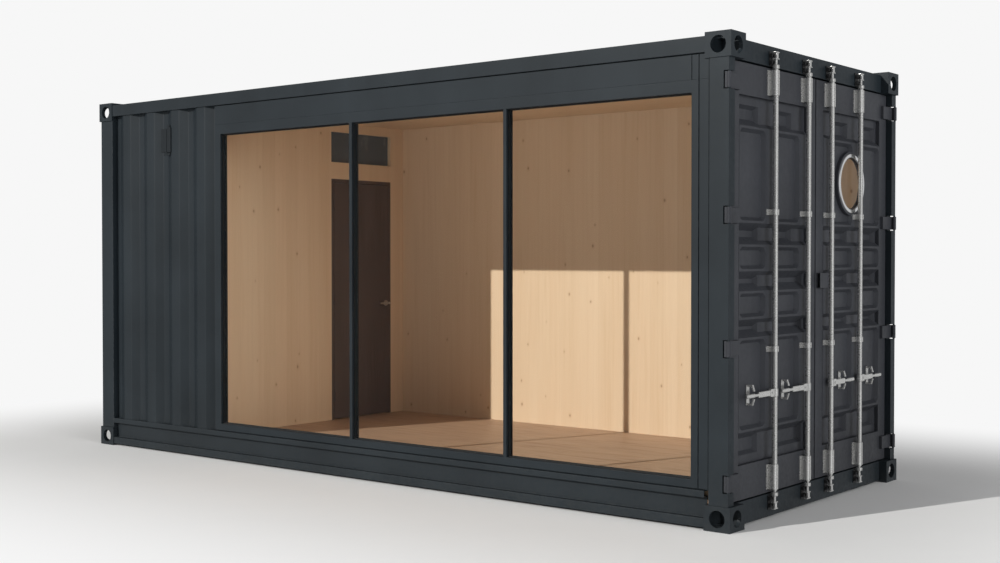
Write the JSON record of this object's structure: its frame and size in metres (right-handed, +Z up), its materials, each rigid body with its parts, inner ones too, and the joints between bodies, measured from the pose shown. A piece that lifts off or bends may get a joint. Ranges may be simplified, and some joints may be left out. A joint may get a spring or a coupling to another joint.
{
  "type": "shipping container cabin",
  "caption": "High steel shipping container made into a cabin, with a glazed side, corrugated walls, double cargo doors with locking bars, a round window and a timber lining.",
  "frame": {"origin": "centre of the base, on the ground under the bottom castings", "axes": "+X towards the cargo doors, +Y towards the closed back wall, +Z up; the glazed side faces -Y"},
  "size_m": [6.058, 2.438, 2.896],
  "materials": {
    "anthracite_paint": "satin",
    "frame_paint": "satin",
    "window_glass": "clear",
    "dark_glass": "dark",
    "dark_leaf": "matte",
    "satin_steel": "satin",
    "floor_timber": "oiled",
    "lining_timber": "raw",
    "black_iron": "rough",
    "black_rubber": "matte",
    "galvanised": "zinc coated",
    "polished_ring": "polished"
  },
  "bodies": {
    "container": {"corner_castings": "anthracite_paint", "door_posts": "anthracite_paint", "closed_posts": "anthracite_paint", "top_side_rails": "anthracite_paint", "bottom_side_rails": "anthracite_paint", "door_header": "anthracite_paint", "door_sill": "anthracite_paint", "closed_end_rails": "anthracite_paint", "head_plate": "anthracite_paint", "front_sheet": "anthracite_paint", "back_sheet": "anthracite_paint", "end_sheet": "anthracite_paint", "roof_sheet": "anthracite_paint", "cross_members": "anthracite_paint", "vent_hood": "anthracite_paint", "window_frame": "frame_paint", "window_panes": "window_glass", "transom_pane": "dark_glass", "inner_door_frame": "dark_leaf", "floor_boards": "floor_timber", "back_lining": "lining_timber", "front_lining": "lining_timber", "end_lining": "lining_timber", "ceiling_lining": "lining_timber", "partition_wall": "lining_timber", "bar_keepers": "black_iron"},
    "near_leaf": {"near_leaf_frame": "anthracite_paint", "near_leaf_panel": "anthracite_paint", "near_leaf_seal": "black_rubber", "near_leaf_hinges": "anthracite_paint", "near_lock_fittings": "galvanised"},
    "far_leaf": {"far_leaf_frame": "anthracite_paint", "far_leaf_panel": "anthracite_paint", "far_leaf_seal": "black_rubber", "far_leaf_hinges": "anthracite_paint", "far_lock_fittings": "galvanised", "lock_box": "anthracite_paint", "porthole_ring": "polished_ring", "porthole_pane": "window_glass"},
    "bar_one": {"lock_bar_one": "galvanised"},
    "bar_two": {"lock_bar_two": "galvanised"},
    "bar_three": {"lock_bar_three": "galvanised"},
    "bar_four": {"lock_bar_four": "galvanised"},
    "inner_leaf": {"inner_door": "dark_leaf", "inner_door_handle": "satin_steel"}
  },
  "joints": [
    {"name": "near_leaf_swing", "type": "hinge", "parent": "container", "child": "near_leaf", "pos_m": [3.01, -1.202, 1.448], "axis": [0, 0, -1], "range_deg": [0, 263]},
    {"name": "far_leaf_swing", "type": "hinge", "parent": "container", "child": "far_leaf", "pos_m": [3.01, 1.202, 1.448], "axis": [0, 0, 1], "range_deg": [0, 263]},
    {"name": "bar_one_turn", "type": "hinge", "parent": "near_leaf", "child": "bar_one", "pos_m": [3.007, -0.623, 1.448], "axis": [0, 0, -1], "range_deg": [-90, 0]},
    {"name": "bar_two_turn", "type": "hinge", "parent": "near_leaf", "child": "bar_two", "pos_m": [3.007, -0.171, 1.448], "axis": [0, 0, -1], "range_deg": [-90, 0]},
    {"name": "bar_three_turn", "type": "hinge", "parent": "far_leaf", "child": "bar_three", "pos_m": [3.007, 0.171, 1.448], "axis": [0, 0, 1], "range_deg": [-90, 0]},
    {"name": "bar_four_turn", "type": "hinge", "parent": "far_leaf", "child": "bar_four", "pos_m": [3.007, 0.623, 1.448], "axis": [0, 0, 1], "range_deg": [-90, 0]},
    {"name": "inner_door_swing", "type": "hinge", "parent": "container", "child": "inner_leaf", "pos_m": [-1.647, 0.2125, 1.2], "axis": [0, 0, -1], "range_deg": [0, 110]}
  ]
}
